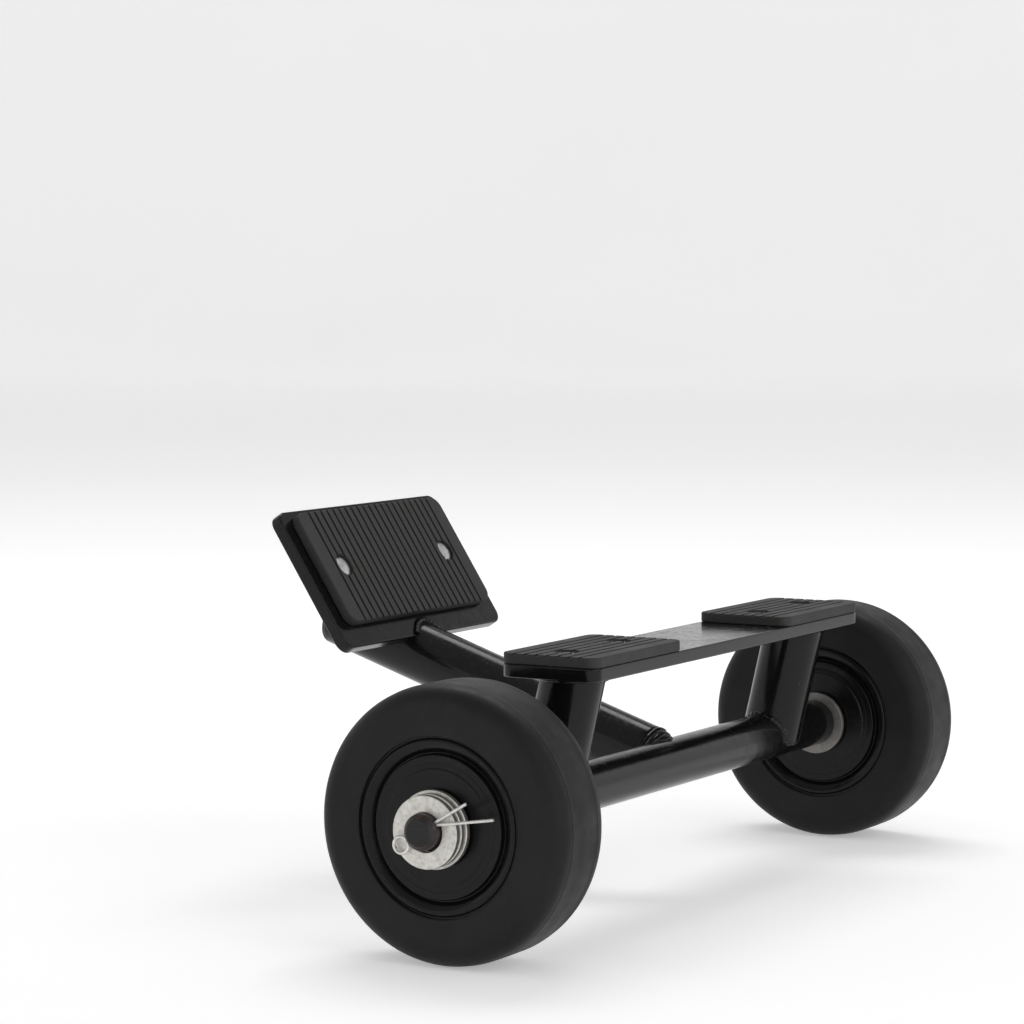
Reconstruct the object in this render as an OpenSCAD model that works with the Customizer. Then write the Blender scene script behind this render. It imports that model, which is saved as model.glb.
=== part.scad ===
// Two-wheel transport dolly for a plate compactor. Units are millimetres.
// X runs along the machine that the dolly carries, Y along the axle, Z up.
// The origin is on the floor, below the middle of the whole dolly.

/* [Wheels] */
// Outside diameter of each wheel
wheel_d = 100; // [84:1:130]
// Width of each wheel across its flat sidewalls
wheel_w = 34; // [28:1:44]
// Distance between the two wheels, centre to centre
track = 315; // [270:5:400]
// Radial thickness of the solid rubber tyre
tyre_t = 17.7; // [12:0.1:20]
// Radius of the rounded shoulder of the tyre
shoulder_r = 6.5; // [3:0.5:8]
// How far the tread falls from its middle to its shoulders
crown_drop = 0.8; // [0.3:0.1:2]
// Depth of the ring groove in each face of the wheel core
groove_depth = 2.8; // [2:0.2:6]
// How far the core's hub face lies below the sidewall
hub_sink = 0.8; // [0:0.1:2]
// Wall of the steel sleeve pressed into the wheel core
sleeve_wall = 2.9; // [1.5:0.1:4]

/* [Axle] */
// Diameter of the solid axle rod
rod_d = 13; // [10:0.5:16]
// Outside diameter of the round tube around the rod
tube_d = 19; // [18:0.5:26]
// Thickness of each flat washer
washer_t = 2.4; // [1.5:0.1:3]
// Outside diameter of each flat washer
washer_d = 26; // [24:0.5:32]
// Outside diameter of the wider washer next to each wheel's outer face
hub_washer_d = 28; // [24:0.5:34]
// Diameter of the wire of the split pins
pin_wire_d = 1.1; // [0.8:0.1:1.4]
// Outside diameter of the eye of the split pins
pin_eye_d = 7; // [5:0.5:8]
// Angle of the split pins above the X direction
pin_angle = 31; // [0:1:90]
// Length of the split pin's long leg past the rod
pin_long = 22.7; // [14:0.1:26]
// Length of the split pin's short leg past the rod
pin_short = 13.9; // [8:0.1:20]
// Angle that the long leg is bent away from the pin
pin_bend = 22; // [5:1:40]

/* [Frame] */
// Outside diameter of the legs and of the arm
leg_d = 24; // [21:0.5:28]
// Wall of the legs and of the arm
leg_wall = 2; // [1.5:0.25:3]
// Distance between the two legs, centre to centre
leg_gap = 190; // [140:2:220]
// Angle that the legs lean from upright
leg_lean = 13; // [0:1:20]
// Height above the floor at which the machine rests
bed_h = 105; // [96:1:130]
// Angle that the arm rises above level
arm_rise = 18.5; // [12:0.5:24]
// Length of the arm along its own middle line
arm_len = 158; // [130:1:200]

/* [Saddle and nose plate] */
// Width of the saddle bar along X
bar_w = 40; // [30:1:60]
// Thickness of the saddle bar and of the nose plate
plate_t = 5; // [3:0.5:8]
// How far the saddle bar runs past the middle of each leg
bar_over = 20; // [15:1:40]
// Thickness of the rubber pads
pad_t = 4; // [3:0.5:8]
// Length of each saddle pad along the bar
pad_len = 70; // [50:1:90]
// How far the arm's end lies beyond the nose plate's foot, along X
nose_back = 38; // [30:1:50]
// Angle of the nose plate above level
nose_tilt = 57; // [45:1:75]
// Height of the nose plate along its own slope
nose_h = 56; // [40:1:80]
// Width of the nose plate along Y
nose_w = 120; // [80:2:180]
// Radius of the corners of the bar, the nose plate and the pads
corner_r = 5; // [2:0.5:7]
// Diameter of the rivets that hold the pads
rivet_d = 4.8; // [3.2:0.4:6]

/* [Fits] */
// Radial running clearance of the sleeves on the rod
run_fit = 0.05; // [0.02:0.01:0.08]
// Side gap between a turning wheel and the washers beside it
side_gap = 0.3; // [0.2:0.05:0.6]
// Radial clearance of a piece that is only slipped into another
slip_fit = 0.1; // [0.05:0.05:0.3]
// Radial clearance of the washers on the rod
washer_fit = 0.5; // [0.1:0.05:0.8]

/* [Hidden] */
$fn = 96;
small_fn = 40;
cut = 1;
wheel_r = wheel_d / 2;
core_r = wheel_r - tyre_t;
rod_r = rod_d / 2;
tube_r = tube_d / 2;
leg_r = leg_d / 2;
leg_bore_r = leg_r - leg_wall;
sleeve_bore_r = rod_r + run_fit;
sleeve_r = sleeve_bore_r + sleeve_wall;
washer_r = washer_d / 2;
hub_washer_r = hub_washer_d / 2;
rivet_r = rivet_d / 2;
wire_r = pin_wire_d / 2;
shoulder_limit = 0.6 * tyre_t;
shoulder = min(shoulder_r, shoulder_limit);
crown_r = (wheel_w * wheel_w / 4) / (2 * crown_drop);

// Stations along the axle, measured outwards from the middle of a wheel
sleeve_stick = 0.5;
sleeve_half = wheel_w / 2 + sleeve_stick;
stack_in = sleeve_half + side_gap;
washers_outside = 3;
stack_out = stack_in + washers_outside * washer_t;
pin_play = 0.2;
pin_hole_r = 2 * wire_r + slip_fit + pin_play;
pin_at = stack_out + pin_hole_r + slip_fit;
wire_overlap = 0.05;
rod_tail = 2;
rod_chamfer = 1.8;
rod_half = track / 2 + pin_at + pin_hole_r + rod_tail;
tube_half = track / 2 - stack_in - washer_t;

// Heights and places of the frame, with the axle above x = 0 of the axle frame
axle_z = wheel_r;
bar_top_z = bed_h - pad_t;
bar_low_z = bar_top_z - plate_t;
leg_top_x = (bar_low_z - axle_z) * tan(leg_lean);
arm_top_rise = leg_r / cos(arm_rise);
nose_x = arm_len * cos(arm_rise) - nose_back;
nose_foot_z = axle_z + arm_top_rise + nose_x * tan(arm_rise);
web_t = plate_t;
web_up = 34;
web_tail = 5;
web_edge = 5;
plug_flange_t = 2.5;
plug_depth = 12;
nose_sink = 6;
pad_edge = 6;
pad_y = leg_gap / 2 + bar_over - pad_len / 2;
nose_pad_w = nose_w - 2 * pad_edge;
rivet_head_r = rivet_r * 1.9;
rivet_head_t = 1.4;
rivet_tail_r = rivet_r * 1.4;
rivet_inset = 2.5 * pad_edge;
rivet_tail_t = 2;
head_sink = 0.6;

// The arm is cut almost square: its end saddles the axle tube by this much
cope_depth = 0.5;
arm_start = tube_r - cope_depth;

// The middle of the dolly's own length, measured from the axle
x_low = -(arm_len + plug_flange_t) * cos(arm_rise) - leg_r * sin(arm_rise);
x_high = max(wheel_r, leg_top_x + bar_w / 2);
axle_x = -(x_low + x_high) / 2;

// Ring profile of the wheel core, as radii inwards from its rim
rim_line = 0.9;
rim_depth = 1.3;
band_out = 1.6;
band_in = 4.1;
groove_out = 5.9;
groove_in = 6.4;
groove_edge = 0.5;
hub_land = 6.7;
hub_step_r = hub_washer_r + hub_land;
hub_step = 0.4;

rubber_black = [0.07, 0.07, 0.07];
plastic_black = [0.10, 0.10, 0.10];
paint_black = [0.04, 0.04, 0.045];
zinc = [0.72, 0.72, 0.70];
rod_brown = [0.16, 0.13, 0.11];

// Places its children in the axle frame: x = 0 at the axle, z = 0 on the floor
module at_axle() {
    translate([axle_x, 0, 0]) children();
}

// Turns a shape made along Z so that it runs along Y, with its end at y
module along_axle(y) {
    translate([0, y, axle_z]) rotate([-90, 0, 0]) children();
}

// Mirrors its children to the far side when side is 1
module on_side(side) {
    if (side > 0) mirror([0, 1, 0]) children();
    else children();
}

// A round tube or rod between two stations along Z
module pipe(outer, inner, low, high) {
    difference() {
        translate([0, 0, low]) cylinder(r = outer, h = high - low);
        translate([0, 0, low - cut]) cylinder(r = inner, h = high - low + 2 * cut);
    }
}

// A flat plate with four rounded corners, centred on X and Y, standing on z = 0
module rounded_plate(x, y, t, r) {
    linear_extrude(t) {
        square([x - 2 * r, y], center = true);
        square([x, y - 2 * r], center = true);
        for (sx = [-1, 1], sy = [-1, 1])
            translate([sx * (x / 2 - r), sy * (y / 2 - r)]) circle(r = r, $fn = small_fn);
    }
}

// The outside of the tube around the rod, as a cutter for what is coped onto it
module tube_solid() {
    along_axle(-tube_half) cylinder(r = tube_r, h = 2 * tube_half);
}

// ---------- axle ----------

module axle_tube() {
    color(paint_black) at_axle() along_axle(0)
        pipe(tube_r, rod_r + slip_fit, -tube_half, tube_half);
}

module rod_blank() {
    straight = rod_half - rod_chamfer;
    translate([0, 0, -straight]) cylinder(r = rod_r, h = 2 * straight);
    for (turn = [0, 180]) rotate([turn, 0, 0]) translate([0, 0, straight])
        cylinder(r1 = rod_r, r2 = rod_r - rod_chamfer, h = rod_chamfer);
}

module axle_rod() {
    color(rod_brown) at_axle() difference() {
        along_axle(0) rod_blank();
        for (side = [-1, 1]) translate([0, side * (track / 2 + pin_at), axle_z])
            rotate([0, 90 - pin_angle, 0])
                cylinder(r = pin_hole_r, h = 2 * rod_d, center = true, $fn = small_fn);
    }
}

// One washer lying on the plane at out, counted outwards from the wheel's middle
module washer_at(out, outer) {
    translate([0, -track / 2 - out, axle_z]) rotate([90, 0, 0]) difference() {
        cylinder(r = outer, h = washer_t);
        translate([0, 0, -cut]) cylinder(r = rod_r + washer_fit, h = washer_t + 2 * cut);
    }
}

// The washers outside a wheel are counted outwards from it, from 0
module outer_washer(side, k) {
    outer = k == 0 ? hub_washer_r : washer_r;
    color(zinc) at_axle() on_side(side) washer_at(stack_in + k * washer_t, outer);
}

module inner_washer(side) {
    color(zinc) at_axle() on_side(side) washer_at(-stack_in - washer_t, washer_r);
}

// A straight length of pin wire, which starts a little before its station
module wire(length) {
    translate([0, 0, -wire_r]) cylinder(r = wire_r, h = length + wire_r, $fn = small_fn);
}

// Split pin made along Z, with the rod's axis across its origin
module split_pin_shape() {
    ring_r = pin_eye_d / 2 - wire_r;
    leg_off = wire_r - wire_overlap;
    bend_at = rod_r + wire_r;
    eye_at = -rod_r - slip_fit - pin_eye_d / 2;
    translate([0, 0, eye_at]) rotate([90, 0, 0])
        rotate_extrude() translate([ring_r, 0]) circle(r = wire_r, $fn = small_fn);
    translate([leg_off, 0, bend_at]) rotate([0, pin_bend, 0]) wire(pin_long);
    for (way = [-1, 1]) {
        straight = way > 0 ? bend_at - eye_at - ring_r : bend_at - eye_at - ring_r + pin_short;
        translate([way * leg_off, 0, eye_at + ring_r]) wire(straight);
    }
}

module split_pin(side) {
    color(zinc) at_axle() on_side(side)
        translate([0, -track / 2 - pin_at, axle_z])
            rotate([0, 90 - pin_angle, 0]) split_pin_shape();
}

// ---------- wheels ----------

// Half of the tyre's cross-section lies on each side of the wheel's middle plane
module tyre_section() {
    intersection() {
        union() {
            translate([core_r, -wheel_w / 2]) square([tyre_t - shoulder, wheel_w]);
            translate([core_r, shoulder - wheel_w / 2]) square([tyre_t, wheel_w - 2 * shoulder]);
            for (way = [-1, 1]) translate([wheel_r - shoulder, way * (wheel_w / 2 - shoulder)])
                circle(r = shoulder);
        }
        translate([wheel_r - crown_r, 0]) circle(r = crown_r);
    }
}

// What is cut from one face of the core: rim line, sloped band, groove, hub step
module core_face_cut() {
    polygon([
        [core_r + cut, cut], [core_r + cut, -rim_depth], [core_r - rim_line, -rim_depth],
        [core_r - band_out, 0], [core_r - band_in, -hub_sink], [core_r - groove_out, -groove_depth],
        [core_r - groove_in, -groove_depth], [core_r - groove_in - groove_edge, -hub_sink],
        [hub_step_r, -hub_sink], [hub_step_r - hub_step, -hub_sink + hub_step],
        [sleeve_r - cut, -hub_sink + hub_step], [sleeve_r - cut, cut]
    ]);
}

module core_section() {
    difference() {
        translate([sleeve_r, -wheel_w / 2]) square([core_r - sleeve_r, wheel_w]);
        for (way = [0, 1]) mirror([0, way]) translate([0, wheel_w / 2]) core_face_cut();
    }
}

module wheel_place(side) {
    at_axle() along_axle(side * track / 2) children();
}

module tyre(side) {
    color(rubber_black) wheel_place(side) rotate_extrude() tyre_section();
}

module core(side) {
    color(plastic_black) wheel_place(side) rotate_extrude() core_section();
}

module sleeve(side) {
    color(zinc) wheel_place(side) pipe(sleeve_r, sleeve_bore_r, -sleeve_half, sleeve_half);
}

// ---------- legs and arm ----------

module leg(side) {
    reach = bar_low_z - axle_z;
    color(paint_black) at_axle() difference() {
        translate([0, side * leg_gap / 2, axle_z]) rotate([0, leg_lean, 0])
            pipe(leg_r, leg_bore_r, 0, reach / cos(leg_lean) + leg_d);
        translate([-leg_d, side * leg_gap / 2 - leg_d, bar_low_z]) cube([4 * leg_d, 2 * leg_d, 2 * leg_d]);
        tube_solid();
    }
}

// Puts its children on the arm's middle line: +Z runs up the arm
module on_arm() {
    translate([0, 0, axle_z]) rotate([0, arm_rise - 90, 0]) children();
}

module arm_solid() {
    on_arm() cylinder(r = leg_r, h = arm_len);
}

module centre_arm() {
    color(paint_black) at_axle() difference() {
        on_arm() pipe(leg_r, leg_bore_r, arm_start, arm_len);
        tube_solid();
    }
}

module arm_plug() {
    color(plastic_black) at_axle() on_arm() {
        translate([0, 0, arm_len]) cylinder(r = leg_r, h = plug_flange_t);
        translate([0, 0, arm_len - plug_depth]) cylinder(r = leg_bore_r - slip_fit, h = plug_depth + cut);
    }
}

// ---------- saddle ----------

// Places of the rivets along a pad, counted from the pad's middle
function rivet_spots(length) = [for (way = [-1, 1]) way * (length / 2 - rivet_inset)];

// A rivet standing on z = 0: head in the pad, shank through pad and plate, formed tail below
module rivet() {
    translate([0, 0, pad_t - head_sink - rivet_head_t]) cylinder(r = rivet_head_r, h = rivet_head_t);
    translate([0, 0, -plate_t - rivet_tail_t])
        cylinder(r = rivet_r, h = plate_t + rivet_tail_t + pad_t - head_sink - rivet_head_t / 2);
    translate([0, 0, -plate_t - rivet_tail_t]) cylinder(r = rivet_tail_r, h = rivet_tail_t);
}

// Holes that a rivet needs through the plate below z = 0
module rivet_hole() {
    translate([0, 0, -plate_t - cut]) cylinder(r = rivet_r + slip_fit, h = plate_t + 2 * cut);
}

// Holes that a rivet needs in the pad above z = 0
module rivet_pocket() {
    seat = pad_t - head_sink - rivet_head_t;
    translate([0, 0, -cut]) cylinder(r = rivet_r + slip_fit, h = pad_t);
    translate([0, 0, seat]) cylinder(r = rivet_head_r + slip_fit, h = pad_t);
}

// Middle of the top face of the saddle bar
module on_bar() {
    at_axle() translate([leg_top_x, 0, bar_top_z]) children();
}

module saddle_bar() {
    color(paint_black) on_bar() difference() {
        translate([0, 0, -plate_t])
            rounded_plate(bar_w, leg_gap + 2 * bar_over, plate_t, corner_r);
        for (side = [-1, 1], spot = rivet_spots(pad_len))
            translate([0, side * pad_y + spot, 0]) rivet_hole();
    }
}

module saddle_pad(side) {
    color(rubber_black) on_bar()
        translate([0, side * pad_y, 0]) difference() {
            rounded_plate(bar_w, pad_len, pad_t, corner_r);
            for (spot = rivet_spots(pad_len)) translate([0, spot, 0]) rivet_pocket();
        }
}

module saddle_rivets() {
    color(zinc) on_bar() for (side = [-1, 1], spot = rivet_spots(pad_len))
        translate([0, side * pad_y + spot, 0]) rivet();
}

// ---------- nose plate ----------

// Nose plate frame: +X runs up the slope, +Z out of the face that meets the machine
module on_nose() {
    at_axle() translate([-nose_x, 0, nose_foot_z]) rotate([0, nose_tilt, 0]) mirror([1, 0, 0]) children();
}

module nose_plate() {
    length = nose_h + nose_sink;
    color(paint_black) difference() {
        on_nose() translate([nose_h / 2 - nose_sink / 2, 0, -plate_t])
            rounded_plate(length, nose_w, plate_t, corner_r);
        at_axle() arm_solid();
        on_nose() for (spot = rivet_spots(nose_pad_w))
            translate([nose_h / 2, spot, 0]) rivet_hole();
    }
}

module nose_pad() {
    color(rubber_black) on_nose() translate([nose_h / 2, 0, 0]) difference() {
        rounded_plate(nose_h - pad_edge, nose_pad_w, pad_t, corner_r);
        for (spot = rivet_spots(nose_pad_w)) translate([0, spot, 0]) rivet_pocket();
    }
}

module nose_rivets() {
    color(zinc) on_nose() for (spot = rivet_spots(nose_pad_w))
        translate([nose_h / 2, spot, 0]) rivet();
}

// A point on the back of the nose plate, as [x, z] of the axle frame
function nose_back_at(up) = [
    -nose_x - up * cos(nose_tilt) - plate_t * sin(nose_tilt),
    nose_foot_z + up * sin(nose_tilt) - plate_t * cos(nose_tilt)
];

// A point on the arm's middle line, as [x, z] of the axle frame
function arm_at(along) = [-along * cos(arm_rise), axle_z + along * sin(arm_rise)];

// Flat web that stands on the arm and holds the nose plate's back
module nose_web() {
    tail = arm_at(arm_len - web_tail);
    head = nose_back_at(web_up);
    color(paint_black) at_axle() difference() {
        rotate([90, 0, 0]) translate([0, 0, -web_t / 2]) linear_extrude(web_t) polygon([
            nose_back_at(-nose_sink), head, head - [web_edge, 0],
            tail + [0, leg_r / cos(arm_rise) + web_edge], tail
        ]);
        arm_solid();
    }
}

axle_tube();
axle_rod();
leg(-1);  // leg_near
leg(1);  // leg_far
centre_arm();
arm_plug();
saddle_bar();
saddle_pad(-1);  // saddle_pad_near
saddle_pad(1);  // saddle_pad_far
saddle_rivets();
nose_plate();
nose_web();
nose_pad();
nose_rivets();
tyre(-1);  // tyre_near
core(-1);  // core_near
sleeve(-1);  // sleeve_near
tyre(1);  // tyre_far
core(1);  // core_far
sleeve(1);  // sleeve_far
outer_washer(-1, 0);  // washer_near_1
outer_washer(-1, 1);  // washer_near_2
outer_washer(-1, 2);  // washer_near_3
outer_washer(1, 0);  // washer_far_1
outer_washer(1, 1);  // washer_far_2
outer_washer(1, 2);  // washer_far_3
inner_washer(-1);  // inner_washer_near
inner_washer(1);  // inner_washer_far
split_pin(-1);  // split_pin_near
split_pin(1);  // split_pin_far
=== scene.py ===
import math

import bmesh
import bpy
from mathutils import Matrix, Vector


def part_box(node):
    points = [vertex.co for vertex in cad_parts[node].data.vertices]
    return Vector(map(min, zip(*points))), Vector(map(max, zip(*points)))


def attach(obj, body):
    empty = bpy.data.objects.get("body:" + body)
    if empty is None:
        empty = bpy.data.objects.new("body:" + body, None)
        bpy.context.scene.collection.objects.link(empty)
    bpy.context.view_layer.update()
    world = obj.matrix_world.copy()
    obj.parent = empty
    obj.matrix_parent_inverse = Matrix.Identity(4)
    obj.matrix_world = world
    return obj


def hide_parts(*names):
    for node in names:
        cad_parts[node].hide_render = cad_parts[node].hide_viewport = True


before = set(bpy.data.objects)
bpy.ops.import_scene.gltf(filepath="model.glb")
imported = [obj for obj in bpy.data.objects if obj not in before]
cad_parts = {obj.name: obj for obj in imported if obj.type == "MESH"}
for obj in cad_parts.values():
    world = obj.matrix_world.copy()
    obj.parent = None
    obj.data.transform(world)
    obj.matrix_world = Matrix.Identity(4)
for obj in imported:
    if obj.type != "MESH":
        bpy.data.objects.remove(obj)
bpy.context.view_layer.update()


# ---------------------------------------------------------------- tyres
# Each tyre is a ring of solid black rubber, moulded between two mould halves and then
# stretched over the core. The tread is crowned and smooth, the sidewalls are flat, and
# the mould leaves two fine parting lines round the tread.
mm = 0.001
ONTO_AXLE = Matrix.Rotation(math.radians(-90), 4, "X")


def wheel_middle(side):
    low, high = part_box("tyre_" + side)
    return (low + high) / 2


def turned(profile, place, steps=128):
    """Spins (station, radius) points in mm about local Z, then puts the shape at place.

    A third number at a point rounds that corner of the profile before the spin."""
    shape = bmesh.new()
    corners = []
    for station, radius, *rounding in profile:
        corners.append((shape.verts.new((radius * mm, 0, station * mm)), rounding))
    for (one, _), (two, _) in zip(corners, corners[1:] + corners[:1]):
        if one.co.x > 0 or two.co.x > 0:
            shape.edges.new((one, two))
    for corner, rounding in corners:
        if rounding:
            bmesh.ops.bevel(
                shape, geom=[corner], offset=rounding[0] * mm, offset_type="OFFSET",
                segments=3 + int(rounding[0]), profile=0.5, affect="VERTICES",
                clamp_overlap=True, material=-1)
    bmesh.ops.spin(
        shape, geom=shape.verts[:] + shape.edges[:], cent=(0, 0, 0), axis=(0, 0, 1),
        dvec=(0, 0, 0), angle=math.tau, steps=steps, use_merge=True, use_duplicate=False)
    bmesh.ops.remove_doubles(shape, verts=shape.verts, dist=0.002 * mm)
    shape.transform(place)
    bmesh.ops.recalc_face_normals(shape, faces=shape.faces)
    return shape


def mirrored(half):
    """Adds the same points on the other side of station 0, so that the outline closes."""
    return half + [(-station, *rest) for station, *rest in half[::-1]]


def make_piece(name, shape, finish, body, slot, *nodes):
    """Turns a finished bmesh into a piece of the dolly that stands for its CAD nodes."""
    mesh = bpy.data.meshes.new(name)
    shape.to_mesh(mesh)
    shape.free()
    for face in mesh.polygons:
        face.use_smooth = True
    mesh.set_sharp_from_angle(angle=math.radians(42))
    mesh.materials.append(finish)
    piece = bpy.data.objects.new(name, mesh)
    bpy.context.scene.collection.objects.link(piece)
    fairing = piece.modifiers.new("fair shading", "WEIGHTED_NORMAL")
    fairing.keep_sharp = True
    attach(piece, body)
    if nodes:
        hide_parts(*nodes)
    return piece


class Finish:
    """A finish under construction: its nodes are linked one by one to the shader."""

    def __init__(self, name):
        self.material = bpy.data.materials.new(name)
        self.material.use_nodes = True
        self.nodes = self.material.node_tree.nodes
        self.links = self.material.node_tree.links
        self.shader = self.nodes["Principled BSDF"]
        self.place = self.nodes.new("ShaderNodeTexCoord").outputs["Object"]

    def noise(self, size, detail=4, rough=0.55, stretch=(1, 1, 1)):
        """Cloudy noise whose blotches are about size mm across."""
        mapping = self.nodes.new("ShaderNodeMapping")
        mapping.inputs["Scale"].default_value = stretch
        self.links.new(self.place, mapping.inputs["Vector"])
        noise = self.nodes.new("ShaderNodeTexNoise")
        noise.inputs["Scale"].default_value = 1 / (size * mm)
        noise.inputs["Detail"].default_value = detail
        noise.inputs["Roughness"].default_value = rough
        self.links.new(mapping.outputs["Vector"], noise.inputs["Vector"])
        return noise.outputs["Fac"]

    def ramp(self, source, *stops):
        """Maps a factor to numbers or colours through (position, value) stops."""
        ramp = self.nodes.new("ShaderNodeValToRGB")
        while len(ramp.color_ramp.elements) < len(stops):
            ramp.color_ramp.elements.new(0.5)
        for element, (position, value) in zip(ramp.color_ramp.elements, stops):
            element.position = position
            if isinstance(value, (int, float)):
                value = (value, value, value)
            element.color = (*value, 1)
        self.links.new(source, ramp.inputs["Fac"])
        return ramp.outputs["Color"]

    def blend(self, share, one, two):
        """Mixes two colours by a linked share."""
        mix = self.nodes.new("ShaderNodeMix")
        mix.data_type = "RGBA"
        self.links.new(share, mix.inputs["Factor"])
        for socket, value in ((mix.inputs["A"], one), (mix.inputs["B"], two)):
            if isinstance(value, tuple):
                socket.default_value = (*value, 1)
            else:
                self.links.new(value, socket)
        return mix.outputs["Result"]

    def math(self, operation, one, two):
        """One arithmetic step on a linked number and a plain or linked one."""
        step = self.nodes.new("ShaderNodeMath")
        step.operation = operation
        self.links.new(one, step.inputs[0])
        if isinstance(two, (int, float)):
            step.inputs[1].default_value = two
        else:
            self.links.new(two, step.inputs[1])
        return step.outputs["Value"]

    def from_axle(self, middle):
        """Distance in mm from the axle line through middle."""
        mapping = self.nodes.new("ShaderNodeMapping")
        mapping.inputs["Location"].default_value = (-middle.x, 0, -middle.z)
        mapping.inputs["Scale"].default_value = (1, 0, 1)
        self.links.new(self.place, mapping.inputs["Vector"])
        length = self.nodes.new("ShaderNodeVectorMath")
        length.operation = "LENGTH"
        self.links.new(mapping.outputs["Vector"], length.inputs[0])
        return self.math("MULTIPLY", length.outputs["Value"], 1 / mm)

    def rings(self, middle, pitch):
        """Fine turned rings about the axle line, pitch mm apart."""
        turns = self.math("MULTIPLY", self.from_axle(middle), math.tau / pitch)
        return self.math("SINE", turns, 0)

    def upward(self):
        """The share of the surface that faces up, where dust settles."""
        facing = self.nodes.new("ShaderNodeSeparateXYZ")
        self.links.new(self.nodes.new("ShaderNodeNewGeometry").outputs["Normal"], facing.inputs["Vector"])
        return facing.outputs["Z"]

    def bump(self, height, depth, strength=1.0, under=None):
        """Raises the surface by up to depth mm where height is one."""
        bump = self.nodes.new("ShaderNodeBump")
        bump.inputs["Strength"].default_value = strength
        bump.inputs["Distance"].default_value = depth * mm
        self.links.new(height, bump.inputs["Height"])
        if under is not None:
            self.links.new(under, bump.inputs["Normal"])
        return bump.outputs["Normal"]

    def send(self, socket, source):
        self.links.new(source, self.shader.inputs[socket])

    def fix(self, **values):
        for socket, value in values.items():
            self.shader.inputs[socket.replace("_", " ")].default_value = value


def tyre_rubber(side):
    """Satin solid rubber with a bloom of dust, mould rings and a fine grain."""
    rubber = Finish("tyre rubber " + side)
    bloom = rubber.noise(22, detail=6, rough=0.6)
    base = rubber.ramp(bloom, (0.3, (0.0075, 0.0071, 0.0072)), (0.72, (0.0125, 0.0119, 0.0119)))
    specks = rubber.ramp(rubber.noise(1.6, detail=3), (0.66, 0.0), (0.78, 1.0))
    dusty = rubber.blend(specks, base, (0.022, 0.021, 0.020))
    past_shoulder = rubber.math("SUBTRACT", rubber.from_axle(wheel_middle(side)), 48.9)
    tread = rubber.ramp(past_shoulder, (0.0, 0.0), (0.8, 1.0))
    worn = rubber.ramp(rubber.noise(5, detail=7, rough=0.68), (0.42, 0.0), (0.75, 0.7))
    rolled = rubber.math("MULTIPLY", tread, worn)
    rubber.send("Base Color", rubber.blend(rolled, dusty, (0.020, 0.019, 0.018)))
    rubber.send("Roughness", rubber.ramp(rubber.noise(9, detail=5), (0.3, 0.42), (0.7, 0.56)))
    mould = rubber.bump(rubber.rings(wheel_middle(side), 1.1), 0.004, 0.5)
    rubber.send("Normal", rubber.bump(rubber.noise(0.5, detail=3), 0.02, 0.6, mould))
    rubber.fix(Specular_IOR_Level=0.2)
    return rubber.material


TYRE_HALF, TYRE_OUT, CORE_OUT, CROWN = 17, 50, 32.3, 0.8
SHOULDER, LIP_IN, LIP_UP = 6.4, 0.5, 0.6
TREAD = [(10.4, 0), (9.2, 0), (8.95, 0.13), (8.7, 0), (5.6, 0), (2.8, 0), (0.01, 0)]
for side in ("near", "far"):
    place = Matrix.Translation(wheel_middle(side)) @ ONTO_AXLE
    half = [(TYRE_HALF, CORE_OUT + LIP_UP), (TYRE_HALF, TYRE_OUT - CROWN, SHOULDER)]
    for station, ridge in TREAD:
        half.append((station, TYRE_OUT - CROWN * (station / TYRE_HALF) ** 2 + ridge))
    tyre = turned([(TYRE_HALF - LIP_IN, CORE_OUT)] + half + mirrored(half)[len(half):]
                  + [(LIP_IN - TYRE_HALF, CORE_OUT)], place, steps=160)
    make_piece("tyre_" + side + "_rubber", tyre, tyre_rubber(side), "wheel_" + side,
               "tyre_rubber", "tyre_" + side)


# ---------------------------------------------------------------- wheel cores
# Each core is one moulding of hard black plastic that the tyre grips. Its faces carry a
# rim line, a sloped band with a polished edge, a ring groove and a flat hub face with
# two fine steps, and the moulding is glossier than the rubber.
def core_plastic(side):
    plastic = Finish("core plastic " + side)
    cloud = plastic.noise(14, detail=5)
    base = plastic.ramp(cloud, (0.3, (0.0038, 0.0036, 0.0038)), (0.7, (0.0062, 0.0060, 0.0062)))
    scuffs = plastic.ramp(plastic.noise(3, detail=8, rough=0.7), (0.68, 0.0), (0.9, 1.0))
    plastic.send("Base Color", plastic.blend(scuffs, base, (0.016, 0.015, 0.015)))
    plastic.send("Roughness", plastic.ramp(plastic.noise(6, detail=6), (0.3, 0.18), (0.72, 0.30)))
    tool_marks = plastic.bump(plastic.rings(wheel_middle(side), 0.9), 0.0015, 0.5)
    plastic.send("Normal", plastic.bump(plastic.noise(4, detail=1), 0.02, 0.3, tool_marks))
    plastic.fix(Specular_IOR_Level=0.2)
    return plastic.material


SLEEVE_OUT = 9.45
CORE_FACE = [
    (0.3, SLEEVE_OUT), (0.3, 14.7), (0.4, 14.9), (0.4, 20.5, 0.15), (0.8, 20.9, 0.15), (0.8, 22.7),
    (0.92, 22.9), (0.8, 23.1), (0.8, 25.4, 0.3), (2.8, 25.9, 0.2), (2.8, 26.4, 0.2), (0.8, 28.2, 1.2),
    (0.05, 30.7, 0.8), (1.3, 31.4, 0.3), (1.3, CORE_OUT)]
for side in ("near", "far"):
    place = Matrix.Translation(wheel_middle(side)) @ ONTO_AXLE
    half = [(TYRE_HALF - depth, *rest) for depth, *rest in CORE_FACE]
    core = turned(mirrored(half), place, steps=160)
    make_piece("core_" + side + "_moulding", core, core_plastic(side), "wheel_" + side,
               "core_plastic", "core_" + side)


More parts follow.
